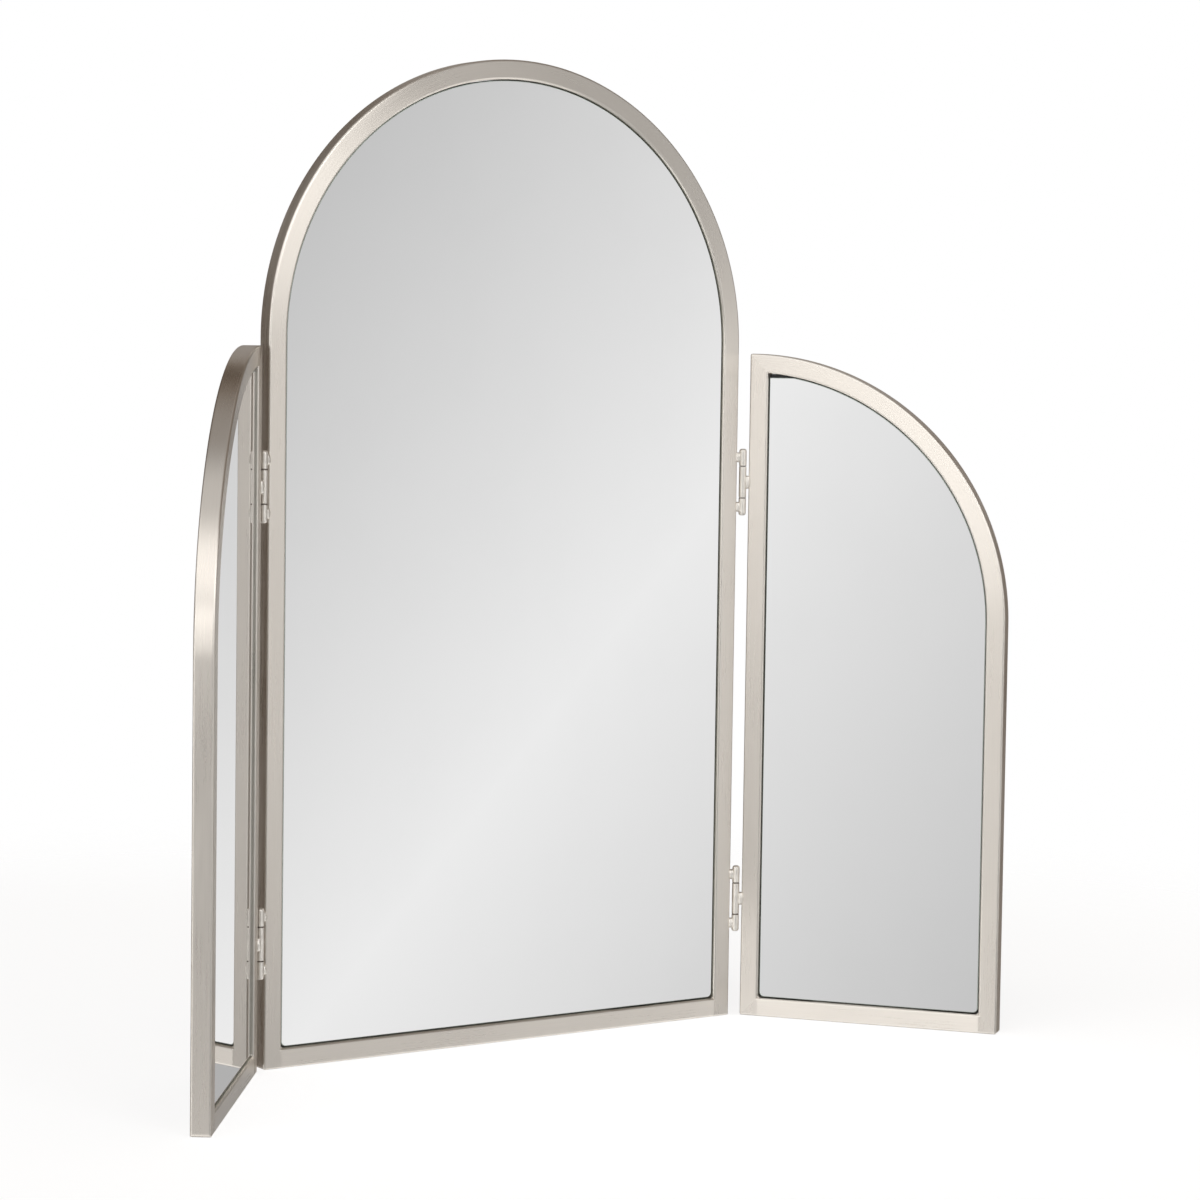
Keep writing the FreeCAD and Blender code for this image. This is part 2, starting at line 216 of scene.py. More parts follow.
def bent_square_tube():
    """Tree for one tube: up a leg, round a bend to the right, down a far leg, both ends cut at a slant."""
    labels = ("Leg", "Bend Radius", "Bend Angle", "Far Leg", "Side", "Edge Radius", "Ground Corner",
              "Far Slope", "Slant Distance", "Slant Angle", "Turned Grain")
    given = {label: "Float" for label in labels}
    given.update({"Rings": "Int", "Material": "Material"})
    tree, size, end = new_tree("bent_square_tube", "GeometryNodeTree", given, {"Geometry": "Geometry"})
    edge_steps = 5
    end_steps = 12
    flat_support = 0.0004
    corner_points = edge_steps + 3
    half = size["Side"] / 2
    radius = size["Bend Radius"]
    bend = size["Bend Angle"]

    def rounded_square(index):
        corner = (index / corner_points).math("FLOOR")
        step = index - corner * corner_points
        turn = ((step - 1) / edge_steps).clamped() * (math.pi / 2)
        flat = half - size["Edge Radius"]
        ahead = flat + size["Edge Radius"] * turn.math("COSINE")
        ahead = ahead - step.math("GREATER_THAN", edge_steps + 1.5) * flat_support
        aside = flat + size["Edge Radius"] * turn.math("SINE")
        aside = aside - step.math("LESS_THAN", 0.5) * flat_support
        cosine = (corner * (math.pi / 2)).math("COSINE")
        sine = (corner * (math.pi / 2)).math("SINE")
        edge = step.math("GREATER_THAN", 0.5) * step.math("LESS_THAN", edge_steps + 1.5)
        place = {"out": ahead * cosine - aside * sine, "deep": ahead * sine + aside * cosine}
        return {**place, "round": index, "edge": edge}

    rings = size["Rings"] + (2 * end_steps + 1)
    tube, local = swept(tree, rings, 4 * corner_points, rounded_square)
    out = local["out"]
    ring = local["ring"]

    def near_cut(place):
        return half - place

    def far_cut(place):
        lean = size["Slant Angle"] - (size["Slant Distance"] / (radius + place)).math("ARCCOSINE")
        return size["Far Slope"] * (half - place) + radius * lean

    length = size["Leg"] + radius * bend + size["Far Leg"]
    near_zone = near_cut(half * -1)
    far_zone = far_cut(half * -1)
    near_share = (ring / end_steps).clamped()
    far_share = ((size["Rings"] + 2 * end_steps - ring) / end_steps).clamped()
    middle_share = ((ring - end_steps) / size["Rings"]).clamped()
    level = near_zone * near_share * near_share + (length - near_zone - far_zone) * middle_share
    level = level + far_zone * (1 - far_share * far_share)
    run = level + (1 - level / near_zone).at_least(0) * near_cut(out)
    run = run - (1 - (length - level) / far_zone).at_least(0) * far_cut(out)

    grind = size["Ground Corner"]
    near_over = (grind - run).at_least(0)
    far_over = (run - length + grind).at_least(0)
    out_over = (out - half + grind).at_least(0)
    reach = ((near_over + far_over).math("POWER", 2) + out_over * out_over).math("SQRT")
    taken = 1 - (grind / reach.at_least(1e-6)).at_most(1)
    run = run + (near_over - far_over) * taken
    out = out - out_over * taken

    turned = (run - size["Leg"]).at_least(0).at_most(radius * bend) / radius
    past = (run - size["Leg"] - radius * bend).at_least(0)
    x = past * bend.math("SINE") - (radius + out) * turned.math("COSINE")
    z = run.at_most(size["Leg"]) + (radius + out) * turned.math("SINE") + past * bend.math("COSINE")
    place = vector(tree, x, local["deep"], z)
    shaped = add(tree, "GeometryNodeSetPosition", {"Geometry": tube, "Position": place})
    shaped = add(tree, "GeometryNodeMergeByDistance", {"Geometry": shaped, "Distance": 1e-5})

    mean_level = add(tree, "GeometryNodeFieldOnDomain", {"Value": level}, data_type="FLOAT", domain="FACE")
    in_far_corner = mean_level.math("GREATER_THAN", length - far_zone)
    in_corner = mean_level.math("LESS_THAN", near_zone).at_least(in_far_corner)
    crossed = in_corner * size["Turned Grain"]
    along = run.towards(out * -1, crossed)
    grain = vector(tree, along, out.towards(run, crossed), local["deep"])
    around = local["round"] * (size["Side"] / corner_points)
    unrolled = vector(tree, along, around.towards(run, crossed), 0.0)
    marked = stored(tree, shaped, "grain", grain, "FLOAT_VECTOR", "CORNER")
    marked = stored(tree, marked, "UVMap", unrolled, "FLOAT2", "CORNER")
    # The edge mask also carries the painted highlight along the rounded edges.
    marked = stored(tree, marked, "edge", local["edge"], "FLOAT", "POINT")
    finished(tree, marked, size["Material"], end)
    return tree


def belt_grain():
    """Shader group: fine scratches along the run of the belt, and the slow drift of pressure and plate."""
    given = {"Place": "Vector", "Scratch Length": "Float", "Scratch Width": "Float", "Drift": "Float"}
    results = {"Scratch": "Float", "Cloud": "Float"}
    tree, size, end = new_tree("belt_grain", "ShaderNodeTree", given, results)
    place = add(tree, "ShaderNodeSeparateXYZ", {"Vector": size["Place"]})
    along, across, deep = (Wire(tree, socket) for socket in place.socket.node.outputs)
    width = size["Scratch Width"]
    fine = vector(tree, along / size["Scratch Length"], across / width, deep / width)
    fine_noise = {"Vector": fine, "Scale": 1.0, "Detail": 4.0, "Roughness": 0.6}
    scratch = add(tree, "ShaderNodeTexNoise", fine_noise)
    slow = vector(tree, along / size["Drift"], across / size["Drift"] * 3, deep / size["Drift"] * 3)
    cloud = add(tree, "ShaderNodeTexNoise", {"Vector": slow, "Scale": 1.0, "Detail": 2.0})
    plug(tree, end.inputs["Scratch"], scratch.ramp(0.3, 0.7))
    plug(tree, end.inputs["Cloud"], cloud.ramp(0.3, 0.7))
    return tree


def new_material(name, colour, roughness, metallic=0.0):
    """A material whose shader starts at one colour and roughness."""
    made = bpy.data.materials.new(name)
    made.use_nodes = True
    made.diffuse_color = (*colour, 1)
    shader = made.node_tree.nodes["Principled BSDF"]
    shader.inputs["Base Color"].default_value = (*colour, 1)
    shader.inputs["Roughness"].default_value = roughness
    shader.inputs["Metallic"].default_value = metallic
    return made, made.node_tree, shader


def blended(tree, share, first, second):
    """A colour between two, by a share that changes over the surface."""
    ends = [end if isinstance(end, Wire) else (*end, 1) for end in (first, second)]
    return add(tree, "ShaderNodeMix", {"Factor": share, 6: ends[0], 7: ends[1]}, output=2, data_type="RGBA")


def grouped(tree, group, values):
    made = tree.nodes.new("ShaderNodeGroup")
    made.node_tree = group
    for label, value in values.items():
        plug(tree, made.inputs[label], value)
    return {socket.name: Wire(tree, socket) for socket in made.outputs}


def bumped(tree, height, distance, strength):
    return add(tree, "ShaderNodeBump", {"Height": height, "Distance": distance, "Strength": strength})


grain_group = belt_grain()
nickel_dark = (0.765, 0.71, 0.645)
nickel_light = (0.84, 0.785, 0.715)
# Lighter tone of the rounded edges: partly their polish, partly a painted highlight.
nickel_polish_and_highlight = (0.88, 0.83, 0.76)
weld_heat = (0.6, 0.47, 0.37)


def brushed_nickel():
    made, tree, shader = new_material("brushed_nickel", nickel_light, 0.34, 1.0)
    place = add(tree, "ShaderNodeAttribute", output="Vector", attribute_name="grain")
    edge = add(tree, "ShaderNodeAttribute", output="Fac", attribute_name="edge")
    heat = add(tree, "ShaderNodeAttribute", output="Fac", attribute_name="heat")
    sizes = {"Place": place, "Scratch Length": 0.05, "Scratch Width": 0.0009, "Drift": 0.12}
    grain = grouped(tree, grain_group, sizes)
    tone = grain["Scratch"] * 0.3 + grain["Cloud"] * 0.7
    plated_tone = blended(tree, tone, nickel_dark, nickel_light)
    # Rounded edges are lighter, partly as polish and partly as a painted highlight along them.
    polish_and_highlight_tone = blended(tree, edge * 0.5, plated_tone, nickel_polish_and_highlight)
    plug(tree, shader.inputs["Base Color"], blended(tree, heat * 0.6, polish_and_highlight_tone, weld_heat))
    roughness = 0.25 + grain["Scratch"] * 0.06 + grain["Cloud"] * 0.04 + edge * 0.03
    plug(tree, shader.inputs["Roughness"], roughness)
    plug(tree, shader.inputs["Normal"], bumped(tree, grain["Scratch"] * (1 - edge), 0.00001, 0.25))
    shader.inputs["Anisotropic"].default_value = 0.9
    shader.inputs["Anisotropic Rotation"].default_value = 0.25
    run = add(tree, "ShaderNodeTangent", direction_type="UV_MAP", uv_map="UVMap")
    plug(tree, shader.inputs["Tangent"], run)
    return made


nickel = brushed_nickel()
tube_tree = bent_square_tube()
tube_sizes = {
    "Side": tube_side, "Edge Radius": tube_edge, "Ground Corner": ground_corner, "Far Slope": 1.0,
    "Bend Radius": tube_side / 2, "Bend Angle": 0.0, "Far Leg": 0.0, "Slant Distance": 0.0,
    "Slant Angle": math.pi / 2, "Turned Grain": 0.0, "Rings": 4, "Material": nickel,
}


def fitted(mesh, name, body, stands_for, place=Matrix()):
    """Sets a finished mesh in its place as a piece that rides on a body and stands for CAD nodes."""
    mesh.transform(place)
    piece = bpy.data.objects.new(name, mesh)
    bpy.context.scene.collection.objects.link(piece)
    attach(piece, body)
    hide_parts(*stands_for)


def wing_place(side):
    """From a wing lying open flat, its hinge stile's outer face at X = 0, to the wing at rest."""
    sign = wing_sides[side]
    axis = hinge_axis[side + "_wing"]
    fold = Matrix.Rotation(-sign * wing_rest_fold, 4, "Z")
    swing = Matrix.Translation(axis) @ fold @ Matrix.Translation(-axis)
    return swing @ Matrix.Translation((sign * wing_start, 0, 0))


def with_corner_welds(mesh, width):
    """Adds the hollow fillets of weld in a rail's two inner corners, its middle being at X = 0."""
    shape = bmesh.new()
    shape.from_mesh(mesh)
    unrolled = shape.loops.layers.uv["UVMap"]
    steps = 6
    depth = tube_side / 2 - tube_edge
    for sign in (-1, 1):
        corner = Vector((sign * (width / 2 - tube_side), 0, tube_side))
        flats = []
        for deep in (-depth, depth):
            outline = [corner]
            for step in range(steps + 1):
                turn = math.pi / 2 * step / steps
                away = Vector((-sign * (1 - math.sin(turn)), 0, 1 - math.cos(turn)))
                outline.append(corner + corner_weld * away)
            flats.append([shape.verts.new(point + Vector((0, deep, 0))) for point in outline])
        front, back = flats
        faces = [shape.faces.new(front), shape.faces.new(back[::-1])]
        for here, there in zip(range(len(front)), [*range(1, len(front)), 0]):
            faces.append(shape.faces.new((front[there], front[here], back[here], back[there])))
        bmesh.ops.recalc_face_normals(shape, faces=faces)
        for face in faces:
            for loop in face.loops:
                loop[unrolled].uv = (loop.vert.co.z + loop.vert.co.x, loop.vert.co.y)
    shape.to_mesh(mesh)
    shape.free()
    return mesh


def bottom_rail(name, width):
    """A rail along X on Z = 0 with its middle at X = 0; its corners are brushed with the legs."""
    mesh = grow(tube_tree, name, {**tube_sizes, "Leg": width, "Turned Grain": 1.0})
    lying = Matrix.Translation((width / 2, 0, 0)) @ Matrix.Rotation(-math.pi / 2, 4, "Y")
    mesh.transform(lying @ Matrix.Translation((tube_side, 0, 0)))
    return with_corner_welds(mesh, width)


arch_sizes = {"Leg": panel_spring, "Bend Radius": panel_half - tube_side / 2, "Bend Angle": math.pi,
              "Far Leg": panel_spring, "Rings": 320}
arch = grow(tube_tree, "centre_arch", {**tube_sizes, **arch_sizes})
fitted(arch, "centre_arch", "centre_panel", ["centre_arch_tube"])
rail = bottom_rail("centre_rail", 2 * panel_half)
fitted(rail, "centre_rail", "centre_panel", ["centre_bottom_rail"])

# The slant where a wing's bend meets its stile runs from the outer corner to where the inner arch meets
# the stile.
inner_radius = wing_width - tube_side
slant_drop = wing_width - math.sqrt(inner_radius**2 - tube_side**2)
slant_angle = math.atan2(slant_drop, tube_side)
slant_distance = wing_width * math.cos(slant_angle)
wing_arch_sizes = {
    "Leg": wing_spring, "Bend Radius": wing_width - tube_side / 2, "Bend Angle": math.pi / 2, "Rings": 150,
    "Far Slope": 0.0, "Slant Distance": slant_distance, "Slant Angle": slant_angle,
}
stile_sizes = {"Leg": wing_height, "Far Slope": slant_drop / tube_side, "Rings": 120}
half_turn = Matrix.Rotation(math.pi, 4, "Z")
for side, sign in wing_sides.items():
    body = side + "_wing"
    facing = half_turn if sign > 0 else Matrix()
    place = wing_place(side)
    arch = grow(tube_tree, body + "_arch", {**tube_sizes, **wing_arch_sizes})
    fitted(arch, body + "_arch", body, [body + "_arch_tube"], place @ facing)
    stile = grow(tube_tree, body + "_stile", {**tube_sizes, **stile_sizes})
    inward = half_turn @ facing @ Matrix.Translation((tube_side, 0, 0))
    fitted(stile, body + "_stile", body, [body + "_hinge_stile"], place @ inward)
    rail = bottom_rail(body + "_rail", wing_width)
    middle = Matrix.Translation((sign * wing_width / 2, 0, 0))
    fitted(rail, body + "_rail", body, [body + "_bottom_rail"], place @ middle)


# Small pressed lugs are welded inside each tube to hold the packs from behind. They are plated with the
# frame and left as they come from the bath: a satin nickel without the belt's scratches.
def satin_plate():
    """Shader group: the soft mottle of plate over unbrushed steel, with fine pits."""
    tree, size, end = new_tree("satin_plate", "ShaderNodeTree", {"Mottle": "Float", "Pits": "Float"},
                               {"Tone": "Float", "Pit": "Float"})
    place = add(tree, "ShaderNodeTexCoord", output="Object")
    mottle = add(tree, "ShaderNodeTexNoise", {"Vector": place, "Scale": 1 / size["Mottle"], "Detail": 4.0})
    pit = add(tree, "ShaderNodeTexNoise", {"Vector": place, "Scale": 1 / size["Pits"], "Detail": 2.0})
    plug(tree, end.inputs["Tone"], mottle.ramp(0.3, 0.7))
    plug(tree, end.inputs["Pit"], pit.ramp(0.25, 0.6))
    return tree


plate_group = satin_plate()


def plated(name, dark, light, roughness, pit_depth):
    made, tree, shader = new_material(name, light, roughness, 1.0)
    plate = grouped(tree, plate_group, {"Mottle": 0.006, "Pits": 0.0009})
    plug(tree, shader.inputs["Base Color"], blended(tree, plate["Tone"], dark, light))
    plug(tree, shader.inputs["Roughness"], roughness - 0.06 + plate["Tone"] * 0.12)
    plug(tree, shader.inputs["Normal"], bumped(tree, plate["Pit"], pit_depth, 0.6))
    return made


def refinished(material, *names):
    """Gives CAD nodes their finish."""
    for name in names:
        for slot in frame["nodes"][name].material_slots:
            slot.material = material


panels = ["centre", "left_wing", "right_wing"]
lug_plate = plated("lug_plate", nickel_dark, nickel_light, 0.42, 0.00003)
refinished(lug_plate, *[panel + "_board_tabs" for panel in panels])

# Each mirror is 3 mm float glass, silvered behind and painted grey over the silver, with the sharp front
# edge ground to an arris. It stands a little back in its frame, 1 mm clear all round, and stops level at
# the top of a wing.
glass_low, glass_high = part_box("centre_mirror_glass")
glass_front = glass_low.y
glass_thickness = glass_high.y - glass_low.y
glass_gap = panel_half - tube_side - glass_high.x
glass_corner = 0.004
glass_arris = 0.0005
glass_top_flat = 0.02


def arc(centre, radius, first, last, steps):
    """Points on an arc in the plane of a panel, from one angle to another in radians."""
    x, z = centre
    turns = [first + (last - first) * step / steps for step in range(steps + 1)]
    return [Vector((x + radius * math.cos(turn), z + radius * math.sin(turn))) for turn in turns]


def glass_foot(left, right, low):
    """The two rounded bottom corners of a pane, ready to close its outline."""
    first = arc((right - glass_corner, low + glass_corner), glass_corner, -math.pi / 2, 0, 6)
    last = arc((left + glass_corner, low + glass_corner), glass_corner, math.pi, 1.5 * math.pi, 6)
    return first, last


def centre_outline():
    half = panel_half - tube_side - glass_gap
    first, last = glass_foot(-half, half, tube_side + glass_gap)
    return first + arc((0, panel_spring), half, 0, math.pi, 120) + last


def wing_outline():
    near = tube_side + glass_gap
    far = wing_width - near
    first, last = glass_foot(near, far, near)
    lean = math.acos((near + glass_top_flat) / far)
    curve = arc((0, wing_spring), far, 0, lean, 60)
    return first + curve + [Vector((near, curve[-1].y))] + last


def inset(outline, distance):
    """The outline moved inwards, square to its edges."""
    moved = []
    for before, here, after in zip([outline[-1], *outline], outline, [*outline[1:], outline[0]]):
        normals = [Vector((-way.y, way.x)).normalized() for way in (here - before, after - here)]
        moved.append(here + (normals[0] + normals[1]) * distance / (1 + normals[0].dot(normals[1])))
    return moved


def pane(name, outline, sign):
    """A plate of glass: silvered face, ground arris, sawn edge and painted back."""
    before = [outline[-1], *outline]
    outline = [point for point, last in zip(outline, before) if (point - last).length > 1e-6]
    edge_front = glass_front + glass_arris
    back = glass_front + glass_thickness
    rings = [(inset(outline, glass_arris), glass_front), (outline, edge_front), (outline, back)]
    shape = bmesh.new()
    loops = [[shape.verts.new((sign * p.x, y, p.y)) for p in ring] for ring, y in rings]
    shape.faces.new(loops[0]).material_index = 0
    shape.faces.new(loops[2][::-1]).material_index = 2
    for outer, inner in zip(loops[1:], loops):
        for here in range(len(outline)):
            there = here - 1
            face = shape.faces.new((inner[there], inner[here], outer[here], outer[there]))
            face.material_index = 1
    bmesh.ops.recalc_face_normals(shape, faces=shape.faces[:])
    mesh = bpy.data.meshes.new(name)
    shape.to_mesh(mesh)
    shape.free()
    for material in (silvered, ground_glass, back_paint):
        mesh.materials.append(material)
    return mesh


def silvered_face():
    made, tree, shader = new_material("silvered_glass", (0.94, 0.94, 0.94), 0.006, 1.0)
    place = add(tree, "ShaderNodeTexCoord", output="Object")
    haze = add(tree, "ShaderNodeTexNoise", {"Vector": place, "Scale": 9.0, "Detail": 6.0, "Roughness": 0.6})
    plug(tree, shader.inputs["Roughness"], 0.004 + haze.ramp(0.55, 0.8) * 0.012)
    tone = blended(tree, haze.ramp(0.4, 0.8), (0.945, 0.945, 0.945), (0.93, 0.93, 0.93))
    plug(tree, shader.inputs["Base Color"], tone)
    return made


def ground_edge():
    made, tree, shader = new_material("ground_glass_edge", (0.6, 0.67, 0.62), 0.45)
    place = add(tree, "ShaderNodeTexCoord", output="Object")
    wheel = add(tree, "ShaderNodeTexNoise", {"Vector": place, "Scale": 2500.0, "Detail": 2.0})
    plug(tree, shader.inputs["Base Color"], blended(tree, wheel, (0.52, 0.6, 0.55), (0.68, 0.74, 0.7)))
    plug(tree, shader.inputs["Normal"], bumped(tree, wheel, 0.00005, 0.5))
    shader.inputs["IOR"].default_value = 1.52
    return made


def mirror_back_paint():
    made, tree, shader = new_material("mirror_back_paint", (0.2, 0.21, 0.22), 0.6)
    place = add(tree, "ShaderNodeTexCoord", output="Object")
    curtain = add(tree, "ShaderNodeTexNoise", {"Vector": place, "Scale": 120.0, "Detail": 4.0})
    plug(tree, shader.inputs["Base Color"], blended(tree, curtain, (0.17, 0.18, 0.19), (0.23, 0.24, 0.25)))
    plug(tree, shader.inputs["Normal"], bumped(tree, curtain, 0.0001, 0.4))
    return made


silvered = silvered_face()
ground_glass = ground_edge()
back_paint = mirror_back_paint()
glass = pane("centre_glass", centre_outline(), 1)
fitted(glass, "centre_glass", "centre_panel", ["centre_mirror_glass"])
for side, sign in wing_sides.items():
    body = side + "_wing"
    glass = pane(body + "_glass", wing_outline(), sign)
    fitted(glass, body + "_glass", body, [body + "_mirror_glass"], wing_place(side))


# White foam tape, 1 mm thick, holds each glass to its board. It is closed-cell foam with glue on both
# sides, cut from a roll in long strips and pressed on before the pack goes into its frame.
def tape_foam():
    made, tree, shader = new_material("tape_foam", (0.84, 0.84, 0.82), 0.9)
    place = add(tree, "ShaderNodeTexCoord", output="Object")
    cells = add(tree, "ShaderNodeTexVoronoi", {"Vector": place, "Scale": 1800.0}, output="Distance")
    tone = blended(tree, cells.ramp(0.2, 0.9), (0.87, 0.87, 0.85), (0.72, 0.72, 0.7))
    plug(tree, shader.inputs["Base Color"], tone)
    plug(tree, shader.inputs["Normal"], bumped(tree, cells, 0.0002, 0.6))
    return made


refinished(tape_foam(), *[panel + "_tape_strips" for panel in panels])


# The backing boards are 5 mm fibreboard, sawn to the opening and sprayed black all over. The paint is
# eggshell, with the board's fibre telling through it and fine dust nibs.
def black_paint():
    made, tree, shader = new_material("black_board_paint", (0.02, 0.02, 0.021), 0.5)
    place = add(tree, "ShaderNodeTexCoord", output="Object")
    peel = add(tree, "ShaderNodeTexNoise", {"Vector": place, "Scale": 650.0, "Detail": 3.0})
    fibre_noise = {"Vector": place, "Scale": 60.0, "Detail": 8.0, "Roughness": 0.7}
    fibre = add(tree, "ShaderNodeTexNoise", fibre_noise)
    tone = fibre.ramp(0.3, 0.7)
    plug(tree, shader.inputs["Base Color"], blended(tree, tone, (0.016, 0.016, 0.017), (0.03, 0.03, 0.031)))
    plug(tree, shader.inputs["Roughness"], 0.42 + tone * 0.16)
    plug(tree, shader.inputs["Normal"], bumped(tree, peel * 0.7 + fibre * 0.3, 0.00012, 0.5))
    return made


refinished(black_paint(), *[panel + "_backing_board" for panel in panels])

# Slotted pan-head screws, bright zinc plated, go through the lugs into the boards. The heads of one panel
# are copies of one head, each turned as the driver left it.
screw_head_radius = 0.0028
screw_head_height = 0.0015
screw_slot_width = 0.0008
screw_slot_depth = 0.0009


def pan_screws():
    """Tree that sets a pan head on every point of a mesh, turned from +Z by Facing."""
    given = {"Geometry": "Geometry", "Radius": "Float", "Height": "Float", "Slot Width": "Float",
             "Slot Depth": "Float", "Facing": "Rotation", "Seed": "Int", "Material": "Material"}
    tree, size, end = new_tree("pan_screws", "GeometryNodeTree", given, {"Geometry": "Geometry"})
    sides = 64
    side_rings = 3
    crown_rings = 26
    side_share = 0.45
    middle_share = 0.015
    slot_edge = 0.1

    def round_section(index):
        return {"turn": index * (2 * math.pi / sides)}

    head, local = swept(tree, side_rings + crown_rings, sides, round_section)
    crown = ((local["ring"] - (side_rings - 1)) / crown_rings).clamped()
    wide = size["Radius"] * (1 - crown * (1 - middle_share))
    lift = (local["ring"] / (side_rings - 1)).clamped() * side_share
    dome = (1 - (1 - crown).math("POWER", 3)) * (1 - side_share)
    x = wide * local["turn"].math("COSINE")
    y = wide * local["turn"].math("SINE")
    slot_in = size["Slot Width"] * (0.5 - slot_edge)
    slot_out = size["Slot Width"] * (0.5 + slot_edge)
    slot = 1 - y.math("ABSOLUTE").ramp(slot_in, slot_out)
    top = size["Height"] * (lift + dome)
    z = top.towards(top.at_most(size["Height"] - size["Slot Depth"]), slot)
    shaped = add(tree, "GeometryNodeSetPosition", {"Geometry": head, "Position": vector(tree, x, y, z)})
    any_turn = {"Min": 0.0, "Max": math.pi, "Seed": size["Seed"]}
    spin = add(tree, "FunctionNodeRandomValue", any_turn, output=1)
    spun = add(tree, "FunctionNodeAxisAngleToRotation", {"Axis": (0, 0, 1), "Angle": spin})
    facing = add(tree, "FunctionNodeRotateRotation", {"Rotation": size["Facing"], "Rotate By": spun},
                 rotation_space="LOCAL")
    heads = {"Points": size["Geometry"], "Instance": shaped, "Rotation": facing}
    finished(tree, add(tree, "GeometryNodeInstanceOnPoints", heads), size["Material"], end)
    return tree


def screw_places(node, outward):
    """Where a node's screw heads sit on the lugs: the middle of each outermost rim, set back a head."""
    clusters = []
    for vertex in frame["nodes"][node].data.vertices:
        for cluster in clusters:
            if (vertex.co - cluster[0]).length < 4 * screw_head_radius:
                cluster.append(vertex.co)
                break
        else:
            clusters.append([vertex.co])
    places = []
    for cluster in clusters:
        outermost = max(point.dot(outward) for point in cluster)
        rim = [point for point in cluster if point.dot(outward) > outermost - 1e-4]
        middle = (Vector(map(min, *rim)) + Vector(map(max, *rim))) / 2
        places.append(middle - outward * screw_head_height)
    return places


zinc = plated("bright_zinc", (0.5, 0.52, 0.55), (0.68, 0.69, 0.7), 0.28, 0.00001)
screw_tree = pan_screws()
for panel in panels:
    body = "centre_panel" if panel == "centre" else panel
    turn = {"centre": 0, "left_wing": wing_rest_fold, "right_wing": -wing_rest_fold}[panel]
    facing = Matrix.Rotation(turn, 3, "Z") @ Matrix.Rotation(-math.pi / 2, 3, "X")
    sizes = {
        "Radius": screw_head_radius, "Height": screw_head_height, "Slot Width": screw_slot_width,
        "Slot Depth": screw_slot_depth, "Facing": facing.to_euler(), "Seed": 3, "Material": zinc,
    }
    node = panel + "_tab_screws"
    heads = grow(screw_tree, panel + "_screws", sizes, screw_places(node, facing @ Vector((0, 0, 1))))
    fitted(heads, panel + "_screws", body, [node])

# Weld-on barrel hinges: two outer knuckles tacked to the centre frame and a middle one tacked to the wing,
# turned from bar, domed at the outer ends and joined by a pin. Each tack is a short weld bead, plated over
# with the rest.
knuckle_radius = 0.003
knuckle_dome = 0.0021
knuckle_edge = 0.0005
knuckle_groove = 0.0006
bead_away = 0.0038
bead_swell = 0.0026
heat_reach = 0.006
bead_runs = {"bottom": 0.003, "middle": 0.0055, "top": 0.003}
# Colour of the painted shade in the joints between knuckles.
joint_shade = (0.2, 0.155, 0.12)


